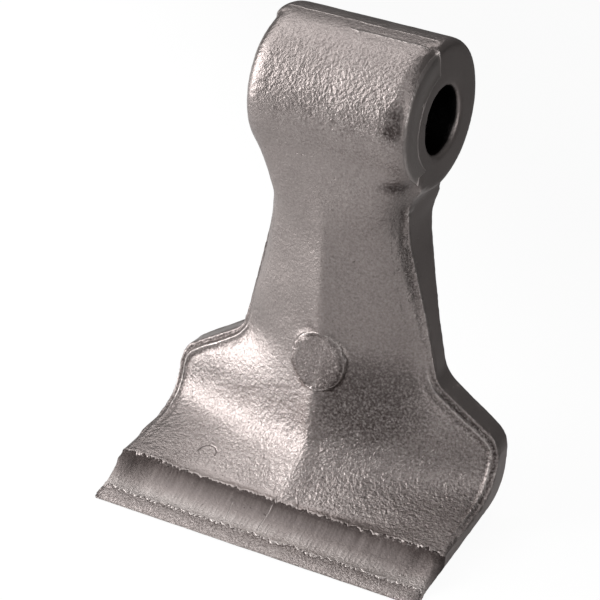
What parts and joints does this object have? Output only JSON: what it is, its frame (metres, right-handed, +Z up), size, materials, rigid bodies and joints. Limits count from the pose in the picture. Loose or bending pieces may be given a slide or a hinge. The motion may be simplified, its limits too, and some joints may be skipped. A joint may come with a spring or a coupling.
{
  "type": "flail mower hammer",
  "caption": "Forged flail mower hammer: a bored hanger boss on a ribbed shank that flares and curves forward into a wide blade with a channelled cutting lip.",
  "frame": {"origin": "centre of the hanger bore, midway between the two ends of the boss", "axes": "+X along the bore, +Z up from the blade to the boss, so that the cutting lip points to -Y"},
  "size_m": [0.1104, 0.0874, 0.1434],
  "materials": {
    "forged_steel": "forged and shot-blasted steel, matt with a soft sheen, pitted like orange peel"
  },
  "bodies": {
    "root": {"hammer_forging": "forged_steel"}
  },
  "joints": []
}
